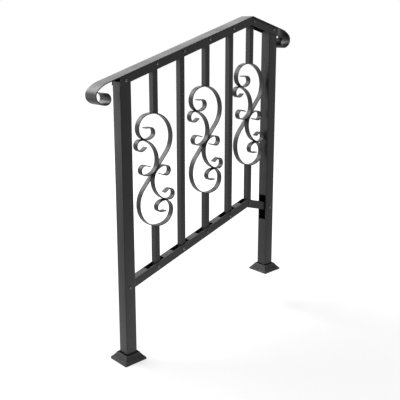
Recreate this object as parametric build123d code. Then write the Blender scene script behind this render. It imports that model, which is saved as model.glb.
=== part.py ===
from build123d import *
import math
import os

# A bolted steel stair handrail: two square posts on base plates, a sloping handrail that bends
# down again before the upper post, a parallel bottom rail, and five pickets, three of which
# carry a scroll ornament bent from flat bar. Millimetres, +Z up. X runs from the lower post to
# the upper post, Y away from the viewer, and the origin is under the lower base plate's middle.

# Overall layout
post_spacing = 648.0
foot_rise = 134.0
rail_height = 907.5
upper_rail_gain = 2.5
rise_angle = 17.6
fall_angle = 15.95

# Clearances, and how far a cutting shape runs past what it cuts
seat = 0.2
slip = 0.4
weld_gap = 0.2
bolt_play = 0.25
cut_past = 1.0

# Posts
post_size = 40.0
post_wall = 1.5
post_corner = 2.5
ear_gap = 1.5
notch_below_bolt = 3.5
post_slot_side_room = 3.5
post_slot_end_room = 32.75
lower_bolt_drop = 20.0
upper_bolt_drop = 13.5

# Base plates and their covers
flange_margin = 19.5
flange_thickness = 4.0
flange_corner = 4.0
anchor_hole = 9.0
anchor_margin = 8.0
cover_wall = 2.0
cover_lip = 4.5
cover_lip_step = 0.5
cover_height = 24.0
cover_post_gap = 3.5
cover_rim = 2.5
cover_inner_corner = 3.0

# Handrail: a flat bar on a channel
bar_overhang = 5.6
bar_thickness = 3.0
channel_wall = 1.5
channel_depth = 25.0
lower_curl_start = 67.6
upper_curl_start = 40.8
curl_bends = ((87.9, 25.2), (23.2, 95.1), (35.8, 48.3), (16.1, 139.0))
curl_tip = 6.0

# Bottom rail
rail_gap = 661.0
rail_depth = 27.5
rail_wall = 1.5
rail_end_inset = 8.0
rail_slot_before = 43.0
rail_slot_after = 27.0
rail_slot_play = 0.75
rail_slot_lip = 2.25

# Pickets, the last one a shorter pitch from its neighbour than the even bays before it
picket_size = 19.0
picket_wall = 1.2
first_picket = 118.0
even_bays = 3
last_bay = 99.5
last_picket_to_post = 102.0
picket_bolt_drop = 13.5
picket_end_gap = 1.0
scroll_pickets = (0, 2, 4)

# Scroll ornament, as bends of the flat bar's centre line: radius and turn in degrees
scroll_drop = 345.0
scroll_thickness = 3.0
scroll_slope = 48.3
scroll_straight = 69.7
scroll_bends = ((77.6, 150.4), (43.3, 70.7), (34.8, 127.6), (16.3, 143.0))
scroll_tip = 18.6
c_heading = 213.7
c_first_straight = 13.3
c_bends = ((17.35, 217.9), (68.3, 93.9), (41.65, 102.35), (15.5, 178.0))
c_last_straight = 16.6

# Bolts and nuts
bolt_size = 6.0
bolt_head = 10.0
bolt_head_height = 3.0
bolt_head_bevel = 1.8
nut_flats = 10.0
nut_height = 5.0
thread_past_nut = 1.5

# Sizes that follow from those above. The bend is where the two slopes meet.
rise, fall = math.radians(rise_angle), math.radians(fall_angle)
total_rise = foot_rise + upper_rail_gain
bend_x = (total_rise + post_spacing * math.tan(fall)) / (math.tan(rise) + math.tan(fall))
peak_z = rail_height + bend_x * math.tan(rise)
post_half = post_size / 2
post_inside = post_size - 2 * post_wall
flange_size = post_size + 2 * flange_margin
anchor_spacing = post_size + 2 * anchor_margin
channel_width = post_size + 2 * (slip + channel_wall)
bar_width = channel_width + 2 * bar_overhang
rail_underside = bar_thickness + seat
channel_inside = rail_underside + channel_wall
channel_bottom = rail_underside + channel_depth
rail_width = picket_size + 2 * (rail_slot_play + rail_slot_lip)
post_slot_width = rail_width + 2 * post_slot_side_room
post_slot_height = rail_depth + 2 * post_slot_end_room
last_picket = post_spacing - last_picket_to_post
picket_pitch = (last_picket - last_bay - first_picket) / even_bays
picket_x = [first_picket + picket_pitch * bay for bay in range(even_bays + 1)] + [last_picket]


def line_z(x, drop):
    """Height at x of the line that runs `drop` square below the handrail's top face."""
    before = peak_z + (x - bend_x) * math.tan(rise) - drop / math.cos(rise)
    after = peak_z - (x - bend_x) * math.tan(fall) - drop / math.cos(fall)
    return min(before, after)


def bend_at(drop):
    """X of the bend in the line that runs `drop` below the handrail's top face."""
    spread = 1 / math.cos(rise) - 1 / math.cos(fall)
    return bend_x + drop * spread / (math.tan(rise) + math.tan(fall))


def bent_strip(x0, x1, top, bottom, width, down=0.0):
    """A bar that follows the handrail's slope from x0 to x1, between two drops below its top."""
    upper = [(x, line_z(x, top) - down) for x in (x0, bend_at(top), x1)]
    lower = [(x, line_z(x, bottom) - down) for x in (x1, bend_at(bottom), x0)]
    outline = Plane.XZ * make_face(Polyline(*upper, *lower, close=True))
    return extrude(outline, amount=width / 2, both=True)


def top_bolts():
    """Bolt places in the channel: the lower post, the five pickets, the upper post."""
    places = [(0.0, line_z(0, 0) - lower_bolt_drop)]
    places += [(x, line_z(x, 0) - picket_bolt_drop) for x in picket_x]
    return places + [(post_spacing, line_z(post_spacing, 0) - upper_bolt_drop)]


def rail_bolts():
    """Bolt places in the bottom rail, in the same order."""
    return [(x, line_z(x, 0) - rail_gap) for x in (0.0, *picket_x, post_spacing)]


def bolt_hole(x, z):
    """A cutting shape for a bolt that runs through the railing, along Y."""
    return Pos(x, 0, z) * Rot(90, 0, 0) * Cylinder(bolt_size / 2 + bolt_play, 2 * bar_width)


def bent_side(start, heading, runs, side):
    """Edges of one face of a bent flat bar. A run is (None, length) or (radius, turn)."""
    edges = []
    direction = Vector(1, 0).rotate(Axis.Z, heading)
    point = Vector(*start) + direction.rotate(Axis.Z, 90) * side
    for radius, amount in runs:
        if radius is None:
            edge = Line(point, point + direction * amount)
        else:
            own_radius = radius - side if amount > 0 else radius + side
            edge = JernArc(point, direction, own_radius, amount)
            direction = direction.rotate(Axis.Z, amount)
        edges.append(edge)
        point = edge @ 1
    return edges


def bent_bar(start, heading, runs, thickness, width):
    """Flat bar bent in the railing's plane, as one solid of even thickness."""
    left = bent_side(start, heading, runs, thickness / 2)
    right = bent_side(start, heading, runs, -thickness / 2)
    caps = [Line(left[0] @ 0, right[0] @ 0), Line(left[-1] @ 1, right[-1] @ 1)]
    return extrude(Plane.XZ * make_face(left + right + caps), amount=width / 2, both=True)


def bend_centres(start, heading, runs):
    """Each bend's centre and radius along a bent centre line."""
    x, z = start
    angle = math.radians(heading)
    centres = []
    for radius, amount in runs:
        if radius is None:
            x, z = x + amount * math.cos(angle), z + amount * math.sin(angle)
            continue
        side = math.copysign(1, amount)
        middle = (x - side * radius * math.sin(angle), z + side * radius * math.cos(angle))
        centres.append((middle, radius))
        angle += math.radians(amount)
        x = middle[0] + side * radius * math.sin(angle)
        z = middle[1] - side * radius * math.cos(angle)
    return centres


def base_flange(x, foot):
    plate = extrude(RectangleRounded(flange_size, flange_size, flange_corner), flange_thickness)
    hole = Cylinder(anchor_hole / 2, 4 * flange_thickness)
    return Pos(x, 0, foot) * (plate - GridLocations(anchor_spacing, anchor_spacing, 2, 2) * hole)


def sloped_block(base, top, corner):
    """Four flat slopes from the lip's top up to the cover's height, with rounded edges between."""
    side_view = Polyline(
        (-base / 2, cover_lip), (base / 2, cover_lip), (top / 2, cover_height),
        (-top / 2, cover_height), close=True)
    one_way = extrude(Plane.XZ * make_face(side_view), amount=base / 2, both=True)
    block = one_way & Rot(0, 0, 90) * one_way
    return fillet(block.edges().filter_by(Plane.XY, reverse=True), corner)


def base_cover(x, foot):
    """The hollow cap over a base plate: an upright lip, then four slopes up to the post."""
    inside = flange_size + 2 * slip
    outside = inside + 2 * cover_wall
    opening = post_size + 2 * cover_post_gap
    step = 2 * cover_lip_step
    shell = extrude(RectangleRounded(outside, outside, flange_corner), cover_lip)
    shell += sloped_block(outside - step, opening + 2 * cover_rim, flange_corner)
    cavity = extrude(RectangleRounded(inside, inside, cover_inner_corner), cover_lip)
    cavity += sloped_block(inside - step, opening, cover_inner_corner)
    return Pos(x, 0, foot) * (shell - cavity)


def post(x, foot, top_bolt, rail_bolt, slot_side):
    """Square tube with a slot for the bottom rail and a notched top inside the channel."""
    bottom = foot + flange_thickness + seat
    section = RectangleRounded(post_size, post_size, post_corner)
    section -= RectangleRounded(post_inside, post_inside, post_corner - post_wall)
    tube = Pos(x, 0, bottom) * extrude(section, peak_z)
    left, right = x - post_half, x + post_half
    ear_drop = channel_inside + ear_gap
    side_view = Polyline(
        (left, bottom), (right, bottom), (right, line_z(right, ear_drop)),
        (left, line_z(left, ear_drop)), close=True)
    tube &= extrude(Plane.XZ * make_face(side_view), amount=post_size, both=True)
    tube -= Pos(x, 0, top_bolt - notch_below_bolt) * Box(
        2 * post_size, post_inside, post_size, align=(Align.CENTER, Align.CENTER, Align.MIN))
    tube -= Pos(x + slot_side * post_half, 0, rail_bolt) * Box(
        post_size, post_slot_width, post_slot_height)
    return tube - bolt_hole(x, top_bolt) - bolt_hole(x, rail_bolt)


def handrail_channel():
    left, right = -post_half, post_spacing + post_half
    channel = bent_strip(left, right, rail_underside, channel_bottom, channel_width)
    channel -= bent_strip(
        left - cut_past, right + cut_past, channel_inside, channel_bottom + channel_depth,
        channel_width - 2 * channel_wall)
    for x, z in top_bolts():
        channel -= bolt_hole(x, z)
    return channel


def curl(x, slope, side):
    """The handrail bar's rolled end, from where it leaves the straight."""
    runs = [(radius, -side * turn) for radius, turn in curl_bends] + [(None, curl_tip)]
    heading = 180 + slope if side < 0 else -slope
    return bent_bar((x, line_z(x, bar_thickness / 2)), heading, runs, bar_thickness, bar_width)


def handrail_bar():
    """The flat bar: two straights that meet at the bend, and a curl at each end."""
    left, right = -lower_curl_start, post_spacing + upper_curl_start
    half = bar_thickness / 2
    left_z, right_z = line_z(left, half), line_z(right, half)
    bend_below = bend_at(bar_thickness)
    outline = Polyline(
        (left - half * math.sin(rise), left_z + half * math.cos(rise)),
        (bend_x, peak_z),
        (right + half * math.sin(fall), right_z + half * math.cos(fall)),
        (right - half * math.sin(fall), right_z - half * math.cos(fall)),
        (bend_below, line_z(bend_below, bar_thickness)),
        (left + half * math.sin(rise), left_z - half * math.cos(rise)),
        close=True)
    straight = extrude(Plane.XZ * make_face(outline), amount=bar_width / 2, both=True)
    return straight + curl(left, rise_angle, -1) + curl(right, fall_angle, 1)


def bottom_rail():
    """Square tube with a long slot in its top at each picket, a bolt hole at each bolt."""
    left, right = -rail_end_inset, post_spacing + rail_end_inset
    half = rail_depth / 2
    rail = bent_strip(left, right, -half, half, rail_width, rail_gap)
    rail -= bent_strip(
        left - cut_past, right + cut_past, rail_wall - half, half - rail_wall,
        rail_width - 2 * rail_wall, rail_gap)
    for x in picket_x:
        middle = x + (rail_slot_after - rail_slot_before) / 2
        rail -= Pos(middle, 0, line_z(x, 0) - rail_gap) * Box(
            rail_slot_before + rail_slot_after, picket_size + 2 * rail_slot_play, 2 * rail_depth,
            align=(Align.CENTER, Align.CENTER, Align.MIN))
    for x, z in rail_bolts():
        rail -= bolt_hole(x, z)
    return rail


def picket(x, top_bolt, rail_bolt):
    """A full picket of square tube from the bottom rail's floor to the channel's roof."""
    sides = (x - picket_size / 2, x + picket_size / 2)
    floor_drop = rail_depth / 2 - rail_wall
    top = min(line_z(side, channel_inside) for side in sides) - picket_end_gap
    bottom = max(line_z(side, floor_drop) for side in sides) - rail_gap + picket_end_gap
    inside = picket_size - 2 * picket_wall
    section = Rectangle(picket_size, picket_size) - Rectangle(inside, inside)
    tube = Pos(x, 0, bottom) * extrude(section, top - bottom)
    return tube - bolt_hole(x, top_bolt) - bolt_hole(x, rail_bolt)


def scroll_middle(x):
    """Height of an ornament's middle. All three keep to the rising slope, past the bend too."""
    return rail_height + x * math.tan(rise) - scroll_drop


def s_scroll(x, z, thickness):
    """The S scroll: one bar with two equal halves, half a turn apart about its middle."""
    runs = [(None, scroll_straight), *scroll_bends, (None, scroll_tip)]
    half = bent_bar((0, 0), scroll_slope, runs, thickness, picket_size)
    return Pos(x, 0, z) * (half + Rot(0, 180, 0) * half)


def c_start():
    """Start of the C scroll, so that it seats on the S scroll's straight and under its loop.

    Its lower bend lies one bar and a weld gap off the S scroll's straight, and its large bend
    lies as far under the S scroll's loop.
    """
    spacing = scroll_thickness + weld_gap
    loops = bend_centres((0, 0), scroll_slope, [(None, scroll_straight), *scroll_bends])
    runs = [(None, c_first_straight)] + [(radius, -turn) for radius, turn in c_bends]
    bends = bend_centres((0, 0), c_heading, runs)
    (large_x, large_z), large = bends[1]
    (lower_x, lower_z), lower = bends[2]
    (loop_x, loop_z), loop = loops[2]
    slope = math.radians(scroll_slope)
    normal = (-math.sin(slope), math.cos(slope))
    along = (math.cos(slope), math.sin(slope))
    off = lower + spacing - (lower_x * normal[0] + lower_z * normal[1])
    reach = large + loop + spacing
    base = (off * normal[0] + large_x - loop_x, off * normal[1] + large_z - loop_z)
    middle = base[0] * along[0] + base[1] * along[1]
    rest = base[0] ** 2 + base[1] ** 2 - reach ** 2
    slide = -middle - math.sqrt(middle ** 2 - rest)
    return off * normal[0] + slide * along[0], off * normal[1] + slide * along[1]


def c_scroll(x, z, turned):
    """A C scroll, turned about the ornament's middle to its upper or its lower place."""
    runs = [(None, c_first_straight)]
    runs += [(radius, -turn) for radius, turn in c_bends]
    runs += [(None, c_last_straight)]
    bar = bent_bar(c_start(), c_heading, runs, scroll_thickness, picket_size)
    return Pos(x, 0, z) * Rot(0, turned, 0) * bar


def bolt(x, z, half_width):
    """A button-headed bolt from the near face through to past its nut."""
    length = 2 * (half_width + seat) + nut_height + thread_past_nut
    shank = Cylinder(bolt_size / 2, length, align=(Align.CENTER, Align.CENTER, Align.MIN))
    head = Cylinder(
        bolt_head / 2, bolt_head_height, align=(Align.CENTER, Align.CENTER, Align.MAX))
    head = chamfer(head.edges().sort_by(Axis.Z)[0], bolt_head_bevel)
    return Pos(x, -half_width - seat, z) * Rot(-90, 0, 0) * (shank + head)


def nut(x, z, half_width):
    """A six-sided nut on the far face."""
    body = extrude(RegularPolygon(nut_flats / 2, 6, major_radius=False), nut_height)
    body -= Cylinder((bolt_size + bolt_play) / 2, 4 * nut_height)
    return Pos(x, half_width + seat, z) * Rot(-90, 0, 0) * body


nodes = {}
top_places, rail_places = top_bolts(), rail_bolts()
posts = (("lower", 0.0, 0.0, 0, 1), ("upper", post_spacing, foot_rise, -1, -1))
for name, x, foot, place, slot_side in posts:
    nodes[name + "_base_flange"] = base_flange(x, foot)
    nodes[name + "_base_cover"] = base_cover(x, foot)
    nodes[name + "_post"] = post(x, foot, top_places[place][1], rail_places[place][1], slot_side)
nodes["handrail_bar"] = handrail_bar()
nodes["handrail_channel"] = handrail_channel()
nodes["bottom_rail"] = bottom_rail()

for index, x in enumerate(picket_x):
    name = f"picket_{index + 1}"
    whole = picket(x, top_places[index + 1][1], rail_places[index + 1][1])
    if index not in scroll_pickets:
        nodes[name] = whole
        continue
    z = scroll_middle(x)
    room = s_scroll(x, z, scroll_thickness + 2 * weld_gap)
    lengths = (whole - room).solids().sort_by(Axis.Z)
    nodes[name + "_lower_part"] = lengths[0]
    nodes[name + "_upper_part"] = lengths[-1]
    nodes[f"s_scroll_{index + 1}"] = s_scroll(x, z, scroll_thickness)
    nodes[f"upper_c_scroll_{index + 1}"] = c_scroll(x, z, 0)
    nodes[f"lower_c_scroll_{index + 1}"] = c_scroll(x, z, 180)

fixings = {
    "handrail": [(x, z, channel_width / 2) for x, z in top_places],
    "rail": [(x, z, rail_width / 2) for x, z in rail_places[1:-1]],
    "post": [(x, z, post_half) for x, z in (rail_places[0], rail_places[-1])],
}
for name, places in fixings.items():
    nodes[name + "_bolts"] = Compound([bolt(*place) for place in places])
    nodes[name + "_nuts"] = Compound([nut(*place) for place in places])

os.makedirs("parts", exist_ok=True)
for name, shape in nodes.items():
    export_step(shape, f"parts/{name}.step")
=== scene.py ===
import math

import bmesh
import bpy
from bpy.props import FloatProperty, FloatVectorProperty, IntProperty, PointerProperty
from mathutils import Matrix, Vector
from mathutils.bvhtree import BVHTree


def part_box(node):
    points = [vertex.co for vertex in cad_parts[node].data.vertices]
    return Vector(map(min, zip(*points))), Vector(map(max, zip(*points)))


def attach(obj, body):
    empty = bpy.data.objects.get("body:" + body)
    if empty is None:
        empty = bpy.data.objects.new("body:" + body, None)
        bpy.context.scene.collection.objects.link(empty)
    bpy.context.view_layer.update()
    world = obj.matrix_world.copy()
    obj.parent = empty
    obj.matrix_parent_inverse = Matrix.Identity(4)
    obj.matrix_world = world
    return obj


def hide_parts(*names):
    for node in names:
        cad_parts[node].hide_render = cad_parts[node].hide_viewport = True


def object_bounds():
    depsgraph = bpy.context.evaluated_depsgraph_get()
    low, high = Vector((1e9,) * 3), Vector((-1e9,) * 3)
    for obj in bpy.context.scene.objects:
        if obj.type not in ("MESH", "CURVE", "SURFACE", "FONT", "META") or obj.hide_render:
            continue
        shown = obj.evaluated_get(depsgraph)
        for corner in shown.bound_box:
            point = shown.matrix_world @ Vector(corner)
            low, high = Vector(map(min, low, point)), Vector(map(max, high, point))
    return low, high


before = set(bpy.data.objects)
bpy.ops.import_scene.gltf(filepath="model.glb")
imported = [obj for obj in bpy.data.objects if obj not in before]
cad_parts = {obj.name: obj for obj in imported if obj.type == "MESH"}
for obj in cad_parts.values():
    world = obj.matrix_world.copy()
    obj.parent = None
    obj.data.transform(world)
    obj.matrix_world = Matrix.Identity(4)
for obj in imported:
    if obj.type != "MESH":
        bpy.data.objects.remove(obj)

bl_info = {
    "name": "Stair handrail finish",
    "version": (1, 0, 0),
    "blender": (4, 5, 0),
    "location": "View3D > Sidebar > Handrail",
    "description": "Rounded edges, welds, screws and powder coat for a bolted steel stair handrail",
    "category": "Object",
}

CAD_BOX = [list(corner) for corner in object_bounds()]
BODY = "root"
MM = 0.001
X, Y, Z = 0, 1, 2
WHITE = (1, 1, 1, 1)

SCROLL_PICKETS = (1, 3, 5)
PLAIN_PICKETS = (2, 4)

# Points this near are one point. The others say how near a point is on a piece's side, and on
# a plane that cuts the piece.
SAME_POINT = 0.001 * MM
ON_SIDE = 0.05 * MM
ON_CUT = 0.0001 * MM

# Faces that turn by less than the first are one flat face. Edges over the second get rounded,
# and edges over the third are shaded as creases.
FLAT_TURN, SHARP_TURN, CREASE_TURN = (math.radians(angle) for angle in (0.4, 30, 50))

# An edge runs along an axis if its direction has more than this along it.
MOSTLY_ALONG = 0.6

# How far up a face of a base cover looks, if it is one of its slopes.
SLOPE_RISE = (0.3, 0.95)

# The mesh attribute that marks rounded edges, and the covers' pressed steps, where the coats paint
# a lighter colour that is partly a painted highlight.
EDGE_MARK = "rounded"

# Noise values that are stretched to a full range: most of them, those where a grain rises from
# the coat, and how many it takes from plain coat to the lighter edge colour, partly a painted
# highlight.
NOISE_SPREAD = (0.35, 0.65)
GRAIN_SPREAD = (0.42, 0.62)
EDGE_LIGHT_SPREAD = 0.25

# Rings of the button head: share of its radius, and millimetres below its top.
HEAD_PROFILE = (
    (0.54, 0.02), (0.68, 0.25), (0.82, 0.7), (0.92, 1.3), (0.98, 2.0), (1.0, 2.6), (0.99, 3.0))

# The thread's root as a share of its radius. Rings of its tip: share of its radius, and pitches
# before its end.
THREAD_ROOT = 0.82
THREAD_TIP = ((0.97, 0.8), (0.72, 0.0))

# A weld bead's sides, and its ends' share of its radius. Rings of each ripple: share of its
# radius, and share of the ripple's length.
BEAD_SIDES, BEAD_END = 8, 0.45
BEAD_RIPPLE = ((1.0, 0.3), (0.86, 0.9))

# Bars this near touch, and touching points further apart than the second are two contacts.
CONTACT_REACH = 0.9 * MM
CONTACT_LENGTH = 14 * MM

# Where a post's sides are cut to bow them, as shares of half its width.
BOW_CUTS = (-0.7, -0.45, -0.2, 0.2, 0.45, 0.7)

# Each lamp's name, direction from the railing, distance and size in metres, and brightness, of
# which 1 is white.
LAMPS = (
    ("high_lamp", (-0.33, 0.70, 0.63), 3.0, (2.1, 2.1), 7.6),
    ("back_lamp", (0.40, 0.70, 0.60), 3.0, (2.3, 1.6), 1.4),
    ("side_lamp", (-0.72, 0.68, 0.0), 2.8, (2.4, 1.0), 1.6),
)


def millimetres(name, description, default, **limits):
    """A length property shown in scene units, given in millimetres."""
    return FloatProperty(
        name=name, description=description, default=default * MM, unit="LENGTH", subtype="DISTANCE",
        precision=5, **limits)


def colour(name, description, default):
    return FloatVectorProperty(
        name=name, description=description, default=default, size=3, subtype="COLOR", min=0.0,
        max=1.0)


def factor(name, description, default):
    return FloatProperty(
        name=name, description=description, default=default, min=0.0, max=1.0, subtype="FACTOR")


def pair(name, description, default, **kind):
    """Two values: the first and the last of a range."""
    return FloatVectorProperty(
        name=name, description=description, default=default, size=2, **kind)


class CoatSettings(bpy.types.PropertyGroup):
    """Colours and textures of the powder coats and the screws' oxide."""

    black: colour("Black", "Powder coat of the frame", (0.0075, 0.0075, 0.0077))
    black_worn: colour("Thin black", "Powder coat where it lies thinner", (0.012, 0.012, 0.0123))
    cover_black: colour("Cover black", "Coat of the base covers", (0.024, 0.024, 0.0245))
    cover_grain: colour("Cover grain", "Raised grains of the covers' coat", (0.07, 0.07, 0.0715))
    screw_black: colour("Screw black", "Oxide finish of the screws and nuts", (0.2, 0.2, 0.205))
    # Lighter colour for the rounded edges: partly a thinner coat, partly a painted highlight where
    # the edges catch light.
    edge_grey_and_highlight: colour("Edge", "Coat where it thins over an edge", (0.028, 0.028, 0.0285))
    # Painted highlight on the covers' rounded edges and along their pressed ledge, about eight
    # times their own black.
    cover_edge_highlight: colour("Cover edge", "Covers' coat where it thins over an edge", (0.2, 0.2, 0.203))
    # Shares of the edges left without the lighter edge colour, and the size of its patches.
    edge_plain_share: factor("Edge hold", "Share of the rounded edges that keep their coat", 0.45)
    cover_plain_share: factor("Cover edge hold", "Share of the covers' edges that keep their coat", 0.3)
    edge_patch_size: millimetres("Wear size", "Size of the patches along worn edges", 7.0)
    sheen_level: factor("Reflection", "Specular level of the coat", 0.28)
    cover_sheen: factor("Cover reflection", "Specular level of the covers' coat", 0.09)
    roughness: pair("Roughness", "Roughness where the coat is thick and thin", (0.36, 0.46))
    cover_roughness: pair("Cover roughness", "Roughness between grains and on them", (0.62, 0.45))
    screw_roughness: pair("Screw roughness", "Least and most roughness of the oxide", (0.34, 0.48))
    screw_metal: factor("Screw metal", "How metallic the oxide is", 0.9)
    frame_patch: millimetres("Frame patch", "Size of the drifts in the frame's coat", 60.0)
    scroll_patch: millimetres("Scroll patch", "Size of the drifts in the scrolls' coat", 25.0)
    screw_patch: millimetres("Screw patch", "Size of the patches in the oxide", 4.0)
    peel_size: millimetres("Ripple size", "Size of the coat's orange-peel ripples", 1.6)
    peel_depth: millimetres("Ripple depth", "Depth of the ripples", 0.005)
    grain_size: millimetres("Grain size", "Size of the covers' grains", 0.9)
    grain_depth: millimetres("Grain depth", "Depth of the covers' grains", 0.07)


class EdgeSettings(bpy.types.PropertyGroup):
    """How far each kind of edge is rounded."""

    bar: millimetres("Flat bar", "Rolled edge of the handrail's flat bar", 0.7)
    sheet: millimetres("Sheet", "Edges of cut sheet and tube ends", 0.25)
    tube: millimetres("Tube corner", "Rolled corner of the picket tube", 1.8)
    rail: millimetres("Rail corner", "Rolled corner of the bottom rail", 2.0)
    channel: millimetres("Channel corner", "Folded corner of the channel", 1.8)
    scroll: millimetres("Scroll", "Edge of the scrolls' flat bar", 0.35)
    cover: millimetres("Cover", "Edge of the base covers", 0.6)
    bow: millimetres("Bow", "How far a post's sides bow outward of its corners", 0.45)


class PressSettings(bpy.types.PropertyGroup):
    """Shape pressed into the base covers."""

    ledge: millimetres("Ledge", "Height of the ledge above the cover's underside", 8.5)
    rim: millimetres("Rim", "Height of the rim left plain round the top", 2.6)
    depth: millimetres("Depth", "How far the slopes are sunk between ledge and rim", 0.8)
    step: millimetres("Step", "Width of the step, measured along the slope", 0.5)


class FixingSettings(bpy.types.PropertyGroup):
    """Shapes of the screws and nuts."""

    head_radius: millimetres("Head radius", "Radius of the button head", 5.0)
    socket: millimetres("Socket", "Flats of the hexagon socket", 4.0)
    socket_depth: millimetres("Socket depth", "Depth of the hexagon socket", 1.9)
    thread_radius: millimetres("Thread", "Outer radius of the thread", 3.0)
    pitch: millimetres("Pitch", "Pitch of the thread", 1.0)
    turns: IntProperty(
        name="Turns", description="Length of the thread at the screw's end, in pitches", default=9,
        min=2)
    nut_flats: millimetres("Nut flats", "Width of the nut across its flats", 10.0)
    chamfer: millimetres("Nut chamfer", "Depth of the chamfer on the nut's corners", 0.45)
    lead: millimetres("Nut lead", "Width of the chamfer at the nut's bore", 0.4)
    facets: IntProperty(
        name="Facets", description="Sides of each round, a multiple of six", default=24, min=12)


class WeldSettings(bpy.types.PropertyGroup):
    """Shapes of the weld beads."""

    scroll: millimetres("Scroll bead", "Radius of the beads between the scrolls", 0.9)
    picket: millimetres("Picket bead", "Radius of the beads where a picket ends on a scroll", 1.1)
    foot: millimetres("Foot bead", "Radius of the beads round a post's foot", 2.0)
    bar: millimetres("Bar bead", "Radius of the stitches between the channel and the bar", 1.2)
    ripple: millimetres("Ripple", "Length of one ripple of a bead", 1.3)
    stitch: millimetres("Stitch", "Length of one stitch under the bar", 24.0)
    stitch_pitch: millimetres("Stitch pitch", "Distance between stitches", 118.0)
    stitch_start: millimetres("Stitch start", "Channel left bare before the first stitch", 20.0)
    stitch_end: millimetres("Stitch end", "Least length left bare after the last stitch", 10.0)
    stitch_sunk: millimetres("Stitch sunk", "Drop of a stitch's middle from the bar", 0.4)


class FloorSettings(bpy.types.PropertyGroup):
    """Brightness of the floor, and how it changes with distance."""

    pale: factor("Pale", "Grey that the floor lights the railing with", 0.7)
    shade: factor("Shade", "Part of the floor's white that a shadow can take", 0.4)
    glow: pair("Glow", "Part of its white that a shadow leaves, near and far", (0.62, 0.85))
    glow_reach: pair("Glow reach", "Distances of near and far", (0.8, 2.2), unit="LENGTH")
    mirrored: pair("Mirrored", "Brightness in reflections, near and far", (1.9, 1.0))
    mirrored_reach: pair("Mirrored reach", "Distances of near and far", (0.2, 1.25), unit="LENGTH")
    mirrored_middle: FloatVectorProperty(
        name="Mirrored middle", description="Where the floor is brightest in reflections",
        default=(0.25, -0.15, 0), size=3, subtype="TRANSLATION", unit="LENGTH")
    radius: FloatProperty(
        name="Radius", description="Radius of the floor", default=9.0, unit="LENGTH",
        subtype="DISTANCE")


class StageSettings(bpy.types.PropertyGroup):
    """Camera and the room's light."""

    camera_place: FloatVectorProperty(
        name="Camera", description="Camera position", default=(-1.1146, -1.5432, 1.0350), size=3,
        subtype="TRANSLATION", unit="LENGTH")
    camera_turn: FloatProperty(
        name="Turn", description="Turn of the camera from +Y towards +X", default=0.7488,
        subtype="ANGLE")
    camera_tilt: FloatProperty(
        name="Tilt", description="Tilt of the camera, down is negative", default=-0.2048,
        subtype="ANGLE")
    focal_length: FloatProperty(
        name="Focal length", description="Focal length on a 36 mm wide sensor", default=57.8,
        min=10.0, subtype="DISTANCE_CAMERA")
    shift_x: FloatProperty(name="Shift across", description="Lens shift across", default=-0.0041)
    shift_y: FloatProperty(name="Shift up", description="Lens shift up", default=-0.095)
    ambient: FloatProperty(
        name="Ambient", description="Strength of the room's light", default=0.5, min=0.0)


class HandrailSettings(bpy.types.PropertyGroup):
    """All settings of the handrail's finish."""

    coat: PointerProperty(type=CoatSettings)
    edge: PointerProperty(type=EdgeSettings)
    press: PointerProperty(type=PressSettings)
    fixing: PointerProperty(type=FixingSettings)
    weld: PointerProperty(type=WeldSettings)
    floor: PointerProperty(type=FloorSettings)
    stage: PointerProperty(type=StageSettings)


def add_node(tree, kind, place=(0, 0), **sockets):
    """A shader node with some of its inputs set, by socket name with underscores."""
    node = tree.nodes.new(kind)
    node.location = place
    for name, value in sockets.items():
        node.inputs[name.replace("_", " ")].default_value = value
    return node


def add_math(tree, operation, first, second, place):
    node = add_node(tree, "ShaderNodeMath", place)
    node.operation = operation
    tree.links.new(first, node.inputs[0])
    tree.links.new(second, node.inputs[1])
    return node.outputs[0]


def cleared_tree(owner):
    """The empty node tree of a material or a world."""
    owner.use_nodes = True
    owner.node_tree.nodes.clear()
    return owner.node_tree


def new_coat(name):
    """A material, its node tree and its shader."""
    material = bpy.data.materials.new(name)
    tree = cleared_tree(material)
    output = add_node(tree, "ShaderNodeOutputMaterial", (900, 0))
    shader = add_node(tree, "ShaderNodeBsdfPrincipled", (600, 0))
    tree.links.new(shader.outputs["BSDF"], output.inputs["Surface"])
    return material, tree, shader


def object_noise(tree, size, detail, place):
    """Noise on object coordinates with features of about the given size."""
    coordinates = add_node(tree, "ShaderNodeTexCoord", (place[0] - 200, place[1]))
    noise = add_node(tree, "ShaderNodeTexNoise", place, Scale=1 / size, Detail=detail)
    tree.links.new(coordinates.outputs["Object"], noise.inputs["Vector"])
    return noise.outputs["Fac"]


def mapped(tree, source, between, to, place):
    """A source's values between two limits, stretched to a range and held at its ends."""
    remap = add_node(
        tree, "ShaderNodeMapRange", place, From_Min=between[0], From_Max=between[1], To_Min=to[0],
        To_Max=to[1])
    tree.links.new(source, remap.inputs["Value"])
    return remap.outputs["Result"]


def mixed_colour(tree, share, first, second, place):
    """A mix of two colours; the first may be another node's output."""
    mix = add_node(tree, "ShaderNodeMix", place)
    mix.data_type = "RGBA"
    base, other = [socket for socket in mix.inputs if socket.type == "RGBA"]
    if isinstance(first, bpy.types.NodeSocket):
        tree.links.new(first, base)
    else:
        base.default_value = (*first, 1)
    other.default_value = (*second, 1)
    tree.links.new(share, mix.inputs["Factor"])
    return next(socket for socket in mix.outputs if socket.type == "RGBA")


def bumped(tree, shader, height, depth, place):
    bump = add_node(tree, "ShaderNodeBump", place, Strength=1.0, Distance=depth)
    tree.links.new(height, bump.inputs["Height"])
    tree.links.new(bump.outputs["Normal"], shader.inputs["Normal"])


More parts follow.
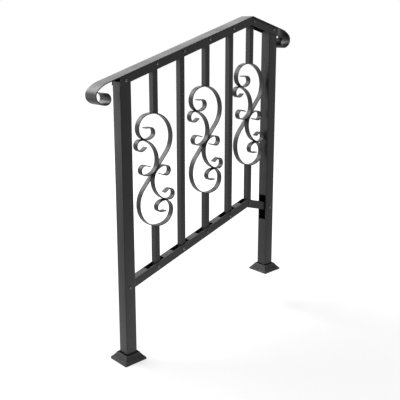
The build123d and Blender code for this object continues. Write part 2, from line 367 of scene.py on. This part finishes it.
def thinned_and_highlighted_edges(tree, tint, edge_colour, hold, size, place):
    """Lighter where the mesh's rounded edges are marked, apart from noise patches: on the frame
    partly a thinner coat and partly a painted highlight, on the covers a painted highlight.
    """
    x, y = place
    marked = add_node(tree, "ShaderNodeAttribute", (x - 400, y - 200))
    marked.attribute_name = EDGE_MARK
    patches = object_noise(tree, size, 4.0, (x - 600, y + 200))
    broken = mapped(tree, patches, (hold, hold + EDGE_LIGHT_SPREAD), (0, 1), (x - 400, y + 200))
    lightened = add_math(tree, "MULTIPLY", marked.outputs["Fac"], broken, (x - 200, y))
    return mixed_colour(tree, lightened, tint, edge_colour, place)


def powder_coat(name, coat, patch_size):
    """Satin black powder: slow drifts of thickness and gloss, and a fine orange peel."""
    material, tree, shader = new_coat(name)
    patches = object_noise(tree, patch_size, 3.0, (-600, 200))
    thickness = mapped(tree, patches, NOISE_SPREAD, (0, 1), (-300, 200))
    tint = mixed_colour(tree, thickness, coat.black, coat.black_worn, (0, 200))
    # Rounded edges lighter in patches: partly a thinner coat, partly a painted highlight.
    tint = thinned_and_highlighted_edges(
        tree, tint, coat.edge_grey_and_highlight, coat.edge_plain_share, coat.edge_patch_size, (300, 400))
    tree.links.new(tint, shader.inputs["Base Color"])
    gloss = mapped(tree, patches, NOISE_SPREAD, coat.roughness, (-300, 0))
    tree.links.new(gloss, shader.inputs["Roughness"])
    ripples = object_noise(tree, coat.peel_size, 1.5, (-600, -300))
    bumped(tree, shader, ripples, coat.peel_depth, (200, -300))
    shader.inputs["Specular IOR Level"].default_value = coat.sheen_level
    return material


def grained_coat(name, coat):
    """The covers' rougher coat, with fine raised grains."""
    material, tree, shader = new_coat(name)
    grains = object_noise(tree, coat.grain_size, 2.0, (-600, 200))
    raised = mapped(tree, grains, GRAIN_SPREAD, (0, 1), (-300, 200))
    tint = mixed_colour(tree, raised, coat.cover_black, coat.cover_grain, (0, 200))
    # Rounded edges and the pressed ledge lighter: a painted highlight.
    tint = thinned_and_highlighted_edges(
        tree, tint, coat.cover_edge_highlight, coat.cover_plain_share, coat.edge_patch_size, (300, 400))
    tree.links.new(tint, shader.inputs["Base Color"])
    gloss = mapped(tree, grains, NOISE_SPREAD, coat.cover_roughness, (-300, 0))
    tree.links.new(gloss, shader.inputs["Roughness"])
    bumped(tree, shader, grains, coat.grain_depth, (200, -300))
    shader.inputs["Specular IOR Level"].default_value = coat.cover_sheen
    return material


def oxide_black(name, coat):
    """Black oxide on steel screws."""
    material, tree, shader = new_coat(name)
    patches = object_noise(tree, coat.screw_patch, 3.0, (-600, 200))
    shade = mapped(tree, patches, NOISE_SPREAD, (0, 1), (-300, 200))
    tint = mixed_colour(tree, shade, coat.screw_black, coat.black_worn, (0, 200))
    tree.links.new(tint, shader.inputs["Base Color"])
    gloss = mapped(tree, patches, NOISE_SPREAD, coat.screw_roughness, (-300, 0))
    tree.links.new(gloss, shader.inputs["Roughness"])
    shader.inputs["Metallic"].default_value = coat.screw_metal
    return material


def coat_of(slot):
    """The material of a slot, made once. The slot's own name is taken by the CAD's plain one."""
    name = slot + "_surface"
    made = bpy.data.materials.get(name)
    if made:
        return made
    coat = bpy.context.scene.handrail.coat
    if slot == "frame_coat":
        return powder_coat(name, coat, coat.frame_patch)
    if slot == "scroll_coat":
        return powder_coat(name, coat, coat.scroll_patch)
    if slot == "cover_coat":
        return grained_coat(name, coat)
    if slot == "fixing_black":
        return oxide_black(name, coat)
    raise ValueError(f"no coat named {slot}")


def merged_copy(node):
    """A CAD node's mesh as a bmesh, with its loose triangles joined into flat faces."""
    bm = bmesh.new()
    bm.from_mesh(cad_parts[node].data)
    bmesh.ops.remove_doubles(bm, verts=bm.verts, dist=SAME_POINT)
    bmesh.ops.dissolve_limit(
        bm, angle_limit=FLAT_TURN, verts=bm.verts, edges=bm.edges, delimit=set())
    return bm


def sharp_edges(bm, least=SHARP_TURN):
    return [edge for edge in bm.edges
            if len(edge.link_faces) == 2 and abs(edge.calc_face_angle_signed(0.0)) > least]


def outer_corners(bm, axis):
    """Sharp edges that run along an axis at the piece's full width across the railing."""
    half = max(vert.co.y for vert in bm.verts)
    found = []
    for edge in sharp_edges(bm):
        along = (edge.verts[1].co - edge.verts[0].co).normalized()
        outermost = all(abs(abs(vert.co.y) - half) < ON_SIDE for vert in edge.verts)
        if abs(along[axis]) > MOSTLY_ALONG and outermost:
            found.append(edge)
    return found


def corners_along(bm):
    """Outer corners of a rail."""
    return outer_corners(bm, X)


def corners_upright(bm):
    """Outer corners of a picket."""
    return outer_corners(bm, Z)


def corners_on_top(bm):
    """Outer corners of the channel's upper side."""
    return [edge for edge in corners_along(bm) if any(f.normal.z > 0.5 for f in edge.link_faces)]


def mark_faces(bm, faces):
    """Marks faces as rounded, for the coats to paint them lighter, partly as a painted highlight.
    """
    layers = bm.faces.layers.float
    mark = layers.get(EDGE_MARK) or layers.new(EDGE_MARK)
    for face in faces:
        face[mark] = 1.0


def round_edges(bm, edges, width, segments):
    """Rounds the edges, and marks the new faces. The mark is there even if nothing is round."""
    mark_faces(bm, ())
    if edges:
        made = bmesh.ops.bevel(
            bm, geom=edges, offset=width, offset_type="OFFSET", segments=segments, affect="EDGES",
            profile=0.5, material=-1, clamp_overlap=True)
        mark_faces(bm, made["faces"])


def new_object(name, data):
    made = bpy.data.objects.new(name, data)
    bpy.context.scene.collection.objects.link(made)
    return made


def finished(bm, name, slot, *replaced):
    """Turns a bmesh into a piece that rides on the railing and takes a slot's finish."""
    mesh = bpy.data.meshes.new(name)
    bm.normal_update()
    for face in bm.faces:
        face.smooth = True
    for edge in sharp_edges(bm, CREASE_TURN):
        edge.smooth = False
    bm.to_mesh(mesh)
    bm.free()
    piece = new_object(name, mesh)
    weighted = piece.modifiers.new("flat_faces", "WEIGHTED_NORMAL")
    weighted.keep_sharp = True
    mesh.materials.append(coat_of(slot))
    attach(piece, BODY)
    if replaced:
        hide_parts(*replaced)


def softened(node, slot, width, segments=2):
    """Stands for a CAD node, with its sharp edges rounded."""
    bm = merged_copy(node)
    round_edges(bm, sharp_edges(bm), width, segments)
    finished(bm, node + "_finish", slot, node)


def folded(node, corners, corner_width, width):
    """Stands for a tube or a folded sheet: wide round corners, and small ones elsewhere."""
    bm = merged_copy(node)
    round_edges(bm, corners(bm), corner_width, 4)
    round_edges(bm, sharp_edges(bm), width, 2)
    finished(bm, node + "_finish", "frame_coat", node)


def ring(bm, radius, height, facets, sides=0, turn=0.0):
    """A loop of edges round Z: a circle, or a polygon of some sides with as many edges."""
    place = Matrix.Translation((0, 0, height)) @ Matrix.Rotation(turn, 4, "Z")
    made = bmesh.ops.create_circle(
        bm, cap_ends=False, segments=sides or facets, radius=radius, matrix=place)
    loop = list({edge for vert in made["verts"] for edge in vert.link_edges})
    if sides:
        cut = bmesh.ops.subdivide_edges(bm, edges=loop, cuts=facets // sides - 1)
        loop = [part for part in cut["geom"] if isinstance(part, bmesh.types.BMEdge)]
    return loop


def stack(bm, loops, closed=True):
    """Skins a row of loops in turn, and closes its two ends."""
    for first, second in zip(loops, loops[1:]):
        bmesh.ops.bridge_loops(bm, edges=first + second)
    if closed:
        for loop in (loops[0], loops[-1]):
            bmesh.ops.contextual_create(bm, geom=loop)


def add_copy(bm, other, matrix=Matrix()):
    """Adds another bmesh's shape to this one, and frees the other."""
    mesh = bpy.data.meshes.new("copy")
    other.to_mesh(mesh)
    other.free()
    mesh.transform(matrix)
    bm.from_mesh(mesh)
    bpy.data.meshes.remove(mesh)


def weld_bead(bm, start, end, radius, ripple):
    """A rippled bead of weld between two points, with round ends."""
    axis = end - start
    turned = Matrix.Translation(start) @ axis.to_track_quat("Z", "Y").to_matrix().to_4x4()
    bead = bmesh.new()
    ripples = max(3, round(axis.length / ripple))
    length = axis.length / ripples
    loops = [ring(bead, BEAD_END * radius, 0.0, BEAD_SIDES)]
    for step in range(ripples):
        for share, part in BEAD_RIPPLE:
            loops.append(ring(bead, share * radius, (step + part) * length, BEAD_SIDES))
    loops.append(ring(bead, BEAD_END * radius, axis.length, BEAD_SIDES))
    stack(bead, loops)
    bmesh.ops.recalc_face_normals(bead, faces=bead.faces)
    add_copy(bm, bead, turned)


def add_welds(name, slot, seams, radius):
    """One piece of weld beads, along pairs of points."""
    ripple = bpy.context.scene.handrail.weld.ripple
    bm = bmesh.new()
    for start, end in seams:
        inward = (end - start).normalized() * radius
        weld_bead(bm, start + inward, end - inward, radius, ripple)
    finished(bm, name, slot)


def outer_slopes(bm, low, high):
    """A cover's outward slopes with their middles between two heights."""
    least, most = SLOPE_RISE
    return [face for face in bm.faces
            if least < face.normal.z < most and low < face.calc_center_median().z < high]


def pressed_cover(node, edge, press):
    """Stands for a base cover: its slopes sunk a little between a ledge and a rim."""
    bm = merged_copy(node)
    round_edges(bm, sharp_edges(bm), edge.cover, 3)
    low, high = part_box(node)
    ledge, rim = low.z + press.ledge, high.z - press.rim
    for height in (ledge, rim):
        faces = outer_slopes(bm, low.z, high.z)
        around = {part for face in faces for part in (*face.verts, *face.edges)}
        bmesh.ops.bisect_plane(
            bm, geom=[*around, *faces], dist=ON_CUT, plane_co=(0, 0, height),
            plane_no=(0, 0, 1))
    made = bmesh.ops.inset_region(
        bm, faces=outer_slopes(bm, ledge, rim), use_boundary=True, use_even_offset=True,
        thickness=press.step, depth=-press.depth)
    # The step faces take the covers' lighter edge colour, a painted highlight along the ledge.
    mark_faces(bm, made["faces"])
    finished(bm, node + "_finish", "cover_coat", node)


class HANDRAIL_OT_bases(bpy.types.Operator):
    """Coat the base plates and their covers, and weld the posts' feet to the plates"""

    bl_idname = "handrail.bases"
    bl_label = "Bases"

    def execute(self, context):
        settings = context.scene.handrail
        for place in ("lower", "upper"):
            pressed_cover(place + "_base_cover", settings.edge, settings.press)
            softened(place + "_base_flange", "frame_coat", settings.edge.sheet)
            low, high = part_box(place + "_post")
            plate_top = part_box(place + "_base_flange")[1].z
            corners = [Vector((x, y, plate_top)) for x, y in (
                (low.x, low.y), (high.x, low.y), (high.x, high.y), (low.x, high.y))]
            seams = list(zip(corners, corners[1:] + corners[:1]))
            add_welds(place + "_foot_weld", "frame_coat", seams, settings.weld.foot)
        return {"FINISHED"}


def bow_sides(bm, middle, half, bow):
    """Bows a square tube's sides: their middles stay in place and the corners draw in."""
    for axis in (X, Y):
        for share in BOW_CUTS:
            place = middle.copy()
            place[axis] += share * half
            bmesh.ops.bisect_plane(
                bm, geom=[*bm.verts, *bm.edges, *bm.faces], dist=ON_CUT, plane_co=place,
                plane_no=(axis == X, axis == Y, 0))
    for vert in bm.verts:
        x, y = (vert.co - middle).xy / half
        vert.co.x -= bow * x * y * y
        vert.co.y -= bow * y * x * x


class HANDRAIL_OT_posts(bpy.types.Operator):
    """Coat the posts"""

    bl_idname = "handrail.posts"
    bl_label = "Posts"

    def execute(self, context):
        edge = context.scene.handrail.edge
        for node in ("lower_post", "upper_post"):
            bm = merged_copy(node)
            round_edges(bm, sharp_edges(bm), edge.sheet, 2)
            low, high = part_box(node)
            bow_sides(bm, (low + high) / 2, (high.x - low.x) / 2, edge.bow)
            finished(bm, node + "_finish", "frame_coat", node)
        return {"FINISHED"}


def surface_of(node):
    """A CAD node's surface, to find points on it."""
    bm = bmesh.new()
    bm.from_mesh(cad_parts[node].data)
    tree = BVHTree.FromBMesh(bm)
    bm.free()
    return tree


def under_bar_stitches(weld):
    """Pairs of points along the channel's top corners, under the bar."""
    bar = surface_of("handrail_bar")
    low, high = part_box("handrail_channel")
    seams = []
    for side in (low.y, high.y):
        clear_of_channel, in_corner = 1.03 * side, 1.015 * side
        start = low.x + weld.stitch_start
        while start + weld.stitch < high.x - weld.stitch_end:
            ends = []
            for x in (start, start + weld.stitch):
                above = bar.ray_cast(Vector((x, clear_of_channel, 0)), Vector((0, 0, 1)))[0]
                ends.append(Vector((x, in_corner, above.z - weld.stitch_sunk)))
            seams.append(ends)
            start += weld.stitch_pitch
    return seams


class HANDRAIL_OT_rails(bpy.types.Operator):
    """Coat the handrail and the bottom rail, and weld the channel under the bar"""

    bl_idname = "handrail.rails"
    bl_label = "Rails"

    def execute(self, context):
        edge, weld = context.scene.handrail.edge, context.scene.handrail.weld
        softened("handrail_bar", "frame_coat", edge.bar, 3)
        folded("handrail_channel", corners_on_top, edge.channel, edge.sheet)
        folded("bottom_rail", corners_along, edge.rail, edge.sheet)
        add_welds("bar_stitches", "frame_coat", under_bar_stitches(weld), weld.bar)
        return {"FINISHED"}


class HANDRAIL_OT_pickets(bpy.types.Operator):
    """Coat the pickets"""

    bl_idname = "handrail.pickets"
    bl_label = "Pickets"

    def execute(self, context):
        edge = context.scene.handrail.edge
        nodes = [f"picket_{number}" for number in PLAIN_PICKETS]
        for number in SCROLL_PICKETS:
            nodes += [f"picket_{number}_upper_part", f"picket_{number}_lower_part"]
        for node in nodes:
            folded(node, corners_upright, edge.tube, edge.sheet)
        return {"FINISHED"}


def contacts_of(touching):
    """Touching points in lists, one for each contact."""
    contacts = []
    for point in sorted(touching, key=lambda p: (round(p.x, 5), round(p.z, 5))):
        for contact in contacts:
            if min((point - member).length for member in contact) < CONTACT_LENGTH:
                contact.append(point)
                break
        else:
            contacts.append([point])
    return contacts


def contact_seams(node, other):
    """Where one bent bar touches another: lines across the bar, one at each side of a contact."""
    surface = surface_of(other)
    touching = []
    bm = merged_copy(node)
    half = max(vert.co.y for vert in bm.verts)
    for vert in bm.verts:
        if abs(vert.co.y - half) < ON_SIDE:
            nearest, _, _, gap = surface.find_nearest(vert.co)
            if gap < CONTACT_REACH:
                touching.append((vert.co + nearest) / 2)
    bm.free()
    seams = []
    for contact in contacts_of(touching):
        ends = max(
            ((first, last) for first in contact for last in contact),
            key=lambda points: (points[0] - points[1]).length)
        seams += [(Vector((end.x, -half, end.z)), Vector((end.x, half, end.z))) for end in ends]
    return seams


def picket_seams(node, end):
    """Pairs of points across a picket's two sides, at the end that meets the scroll."""
    low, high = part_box(node)
    seams = []
    for side in (low.x, high.x):
        heights = [vert.co.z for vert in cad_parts[node].data.vertices
                   if abs(vert.co.x - side) < ON_SIDE]
        z = min(heights) if end == "low" else max(heights)
        seams.append((Vector((side, low.y, z)), Vector((side, high.y, z))))
    return seams


class HANDRAIL_OT_scrolls(bpy.types.Operator):
    """Coat the scroll ornaments and weld them together and to their pickets"""

    bl_idname = "handrail.scrolls"
    bl_label = "Scrolls"

    def execute(self, context):
        edge, weld = context.scene.handrail.edge, context.scene.handrail.weld
        for number in SCROLL_PICKETS:
            for kind in ("s_scroll", "upper_c_scroll", "lower_c_scroll"):
                softened(f"{kind}_{number}", "scroll_coat", edge.scroll)
            seams = contact_seams(f"upper_c_scroll_{number}", f"s_scroll_{number}")
            seams += contact_seams(f"lower_c_scroll_{number}", f"s_scroll_{number}")
            add_welds(f"scroll_welds_{number}", "scroll_coat", seams, weld.scroll)
            seams = picket_seams(f"picket_{number}_upper_part", "low")
            seams += picket_seams(f"picket_{number}_lower_part", "high")
            add_welds(f"picket_welds_{number}", "scroll_coat", seams, weld.picket)
        return {"FINISHED"}


def islands(bm):
    """The separate solids of a bmesh, as lists of their vertices."""
    left = set(bm.verts)
    found = []
    while left:
        grown, waiting = [], [left.pop()]
        while waiting:
            vert = waiting.pop()
            grown.append(vert)
            for edge in vert.link_edges:
                other = edge.other_vert(vert)
                if other in left:
                    left.remove(other)
                    waiting.append(other)
        found.append(grown)
    return found


def fixing_places(node):
    """Each screw's or nut's middle in X and Z, and its two ends in Y."""
    bm = merged_copy(node)
    places = []
    for verts in islands(bm):
        low = [min(vert.co[axis] for vert in verts) for axis in (X, Y, Z)]
        high = [max(vert.co[axis] for vert in verts) for axis in (X, Y, Z)]
        places.append(((low[X] + high[X]) / 2, (low[Z] + high[Z]) / 2, low[Y], high[Y]))
    bm.free()
    return sorted(places)


def button_screw(length, fixing):
    """A button-head screw along Z, its head's top at zero and its threaded end at `length`."""
    bm = bmesh.new()
    facets, thread, pitch = fixing.facets, fixing.thread_radius, fixing.pitch
    socket = fixing.socket / math.sqrt(3)
    loops = [ring(bm, socket, fixing.socket_depth, facets, 6), ring(bm, socket, 0.0, facets, 6)]
    for share, depth in HEAD_PROFILE:
        loops.append(ring(bm, share * fixing.head_radius, depth * MM, facets))
    head_height = HEAD_PROFILE[-1][1] * MM
    loops.append(ring(bm, thread, head_height, facets))
    for turns_left in range(fixing.turns, 1, -1):
        crest = length - turns_left * pitch
        loops.append(ring(bm, thread, crest, facets))
        loops.append(ring(bm, THREAD_ROOT * thread, crest + pitch / 2, facets))
    for share, pitches in THREAD_TIP:
        loops.append(ring(bm, share * thread, length - pitches * pitch, facets))
    stack(bm, loops)
    bmesh.ops.recalc_face_normals(bm, faces=bm.faces)
    return bm


def hex_nut(height, fixing):
    """A nut along Z from zero to its height, its six corners chamfered at both faces.

    The first ring and the last lie in one place in the bore, and are merged to close it.
    """
    bm = bmesh.new()
    facets, chamfer, lead = fixing.facets, fixing.chamfer, fixing.lead
    corner, face = fixing.nut_flats / math.sqrt(3), 0.47 * fixing.nut_flats
    bore, closing = 1.04 * fixing.thread_radius, 0.4 * height
    turn = math.radians(90)
    loops = [
        ring(bm, bore, closing, facets),
        ring(bm, bore, lead, facets),
        ring(bm, bore + lead, 0.0, facets),
        ring(bm, face, 0.0, facets),
        ring(bm, corner, chamfer, facets, 6, turn),
        ring(bm, corner, height - chamfer, facets, 6, turn),
        ring(bm, face, height, facets),
        ring(bm, bore + lead, height, facets),
        ring(bm, bore, height - lead, facets),
        ring(bm, bore, closing, facets)]
    stack(bm, loops, closed=False)
    bmesh.ops.remove_doubles(bm, verts=bm.verts, dist=SAME_POINT)
    bmesh.ops.recalc_face_normals(bm, faces=bm.faces)
    return bm


class HANDRAIL_OT_fixings(bpy.types.Operator):
    """Make the button-head screws and the nuts"""

    bl_idname = "handrail.fixings"
    bl_label = "Screws and nuts"

    def execute(self, context):
        fixing = context.scene.handrail.fixing
        across = Matrix.Rotation(math.radians(-90), 4, "X")
        for name in ("handrail", "rail", "post"):
            for kind, shape in (("bolts", button_screw), ("nuts", hex_nut)):
                node = f"{name}_{kind}"
                bm = bmesh.new()
                for x, z, low, high in fixing_places(node):
                    place = Matrix.Translation((x, low, z)) @ across
                    add_copy(bm, shape(high - low, fixing), place)
                finished(bm, node + "_finish", "fixing_black", node)
        return {"FINISHED"}


def any_ray(tree, *kinds):
    """One for a ray of one of the kinds, and zero for the rest."""
    path = add_node(tree, "ShaderNodeLightPath", (-500, 300))
    found = path.outputs[kinds[0]]
    for kind in kinds[1:]:
        found = add_math(tree, "MAXIMUM", found, path.outputs[kind], (-250, 300))
    return found


def mixed_shader(tree, share, first, second, place):
    mix = add_node(tree, "ShaderNodeMixShader", place)
    tree.links.new(share, mix.inputs["Fac"])
    tree.links.new(first, mix.inputs[1])
    tree.links.new(second, mix.inputs[2])
    return mix.outputs[0]


def white_room(ambient):
    """A world that is white to the camera and in reflections, and a plain level of light."""
    world = bpy.data.worlds.new("white_room")
    bpy.context.scene.world = world
    tree = cleared_tree(world)
    output = add_node(tree, "ShaderNodeOutputWorld", (600, 0))
    light = add_node(tree, "ShaderNodeBackground", (0, 100), Color=WHITE, Strength=ambient)
    white = add_node(tree, "ShaderNodeBackground", (0, -100), Color=WHITE, Strength=1.0)
    shown = any_ray(tree, "Is Camera Ray", "Is Glossy Ray", "Is Transmission Ray")
    surface = mixed_shader(tree, shown, light.outputs[0], white.outputs[0], (300, 0))
    tree.links.new(surface, output.inputs["Surface"])


def dull(tree, grey, place):
    """A grey with no gloss."""
    return add_node(tree, "ShaderNodeBsdfDiffuse", place, Color=(grey, grey, grey, 1)).outputs[0]


def fading_glow(tree, middle, reach, strength, place):
    """White light from the surface, whose strength changes with distance from a point."""
    x, y = place
    coordinates = add_node(tree, "ShaderNodeTexCoord", (x - 700, y))
    distance = add_node(tree, "ShaderNodeVectorMath", (x - 500, y))
    distance.operation = "DISTANCE"
    tree.links.new(coordinates.outputs["Object"], distance.inputs[0])
    distance.inputs[1].default_value = middle
    glow = add_node(tree, "ShaderNodeEmission", place, Color=WHITE)
    fade = mapped(tree, distance.outputs["Value"], reach, strength, (x - 250, y))
    tree.links.new(fade, glow.inputs["Strength"])
    return glow.outputs[0]


def pale_surface(settings):
    """White to the camera where nothing shades it, and grey as a source of light.

    In reflections it is brightest in front of the railing, so the posts are lighter towards
    their feet.
    """
    material = bpy.data.materials.new("floor")
    tree = cleared_tree(material)
    output = add_node(tree, "ShaderNodeOutputMaterial", (600, 0))
    shown = add_node(tree, "ShaderNodeAddShader", (200, -50))
    glow = fading_glow(tree, (0, 0, 0), settings.glow_reach, settings.glow, (0, -150))
    tree.links.new(dull(tree, settings.shade, (0, 0)), shown.inputs[0])
    tree.links.new(glow, shown.inputs[1])
    mirrored = fading_glow(
        tree, settings.mirrored_middle, settings.mirrored_reach, settings.mirrored, (0, -350))
    in_mirror = any_ray(tree, "Is Glossy Ray", "Is Transmission Ray")
    pale = dull(tree, settings.pale, (0, 100))
    surface = mixed_shader(tree, in_mirror, pale, mirrored, (350, 0))
    in_view = any_ray(tree, "Is Camera Ray")
    surface = mixed_shader(tree, in_view, surface, shown.outputs[0], (450, 0))
    tree.links.new(surface, output.inputs["Surface"])
    return material


def pale_floor(settings):
    """A pale floor that keeps the railing's shadow."""
    bm = bmesh.new()
    bmesh.ops.create_circle(bm, cap_ends=True, segments=96, radius=settings.radius)
    mesh = bpy.data.meshes.new("floor")
    bm.to_mesh(mesh)
    bm.free()
    mesh.materials.append(pale_surface(settings))
    new_object("floor", mesh)


def soft_lamp(target, name, direction, distance, size, level):
    """A rectangular lamp that faces the target. The level is its brightness, 1 as white."""
    data = bpy.data.lights.new(name, "AREA")
    data.shape = "RECTANGLE"
    data.size, data.size_y = size
    data.energy = level * math.pi * size[0] * size[1]
    lamp = new_object(name, data)
    away = Vector(direction).normalized()
    lamp.location = target + away * distance
    lamp.rotation_euler = (-away).to_track_quat("-Z", "Y").to_euler()


def photo_camera(stage):
    """The camera at the photo's viewing angle."""
    data = bpy.data.cameras.new("camera")
    data.sensor_width = 36.0
    data.lens = stage.focal_length
    data.shift_x, data.shift_y = stage.shift_x, stage.shift_y
    data.clip_end = 100.0
    camera = new_object("camera", data)
    turn, tilt = stage.camera_turn, stage.camera_tilt
    forward = Vector((
        math.sin(turn) * math.cos(tilt), math.cos(turn) * math.cos(tilt), math.sin(tilt)))
    camera.location = stage.camera_place
    camera.rotation_euler = forward.to_track_quat("-Z", "Y").to_euler()
    return camera


class HANDRAIL_OT_stage(bpy.types.Operator):
    """Make the floor, the lamps, the white room and the camera"""

    bl_idname = "handrail.stage"
    bl_label = "Stage"

    def execute(self, context):
        settings = context.scene.handrail
        context.scene.view_settings.view_transform = "Standard"
        white_room(settings.stage.ambient)
        pale_floor(settings.floor)
        middle = (Vector(CAD_BOX[0]) + Vector(CAD_BOX[1])) / 2
        for lamp in LAMPS:
            soft_lamp(middle, *lamp)
        bpy.context.scene.camera = photo_camera(settings.stage)
        return {"FINISHED"}


STEPS = (
    HANDRAIL_OT_bases, HANDRAIL_OT_posts, HANDRAIL_OT_rails, HANDRAIL_OT_pickets,
    HANDRAIL_OT_scrolls, HANDRAIL_OT_fixings, HANDRAIL_OT_stage)


def own_properties(group):
    """The names of the properties that a group's class gives it."""
    return [name for name in group.bl_rna.properties.keys() if name not in ("rna_type", "name")]


class HANDRAIL_PT_panel(bpy.types.Panel):
    """Steps and settings of the handrail's finish"""

    bl_idname = "HANDRAIL_PT_panel"
    bl_label = "Handrail"
    bl_space_type = "VIEW_3D"
    bl_region_type = "UI"
    bl_category = "Handrail"

    def draw(self, context):
        settings = context.scene.handrail
        for step in STEPS:
            self.layout.operator(step.bl_idname)
        for group_name in own_properties(settings):
            group = getattr(settings, group_name)
            box = self.layout.box()
            for name in own_properties(group):
                box.prop(group, name)


CLASSES = (
    CoatSettings, EdgeSettings, PressSettings, FixingSettings, WeldSettings, FloorSettings,
    StageSettings, HandrailSettings, *STEPS, HANDRAIL_PT_panel)


def register():
    for cls in CLASSES:
        bpy.utils.register_class(cls)
    bpy.types.Scene.handrail = PointerProperty(type=HandrailSettings)


def unregister():
    del bpy.types.Scene.handrail
    for cls in reversed(CLASSES):
        bpy.utils.unregister_class(cls)


def main():
    register()
    for step in STEPS:
        group, name = step.bl_idname.split(".")
        getattr(getattr(bpy.ops, group), name)()


if __name__ == "__main__":
    main()
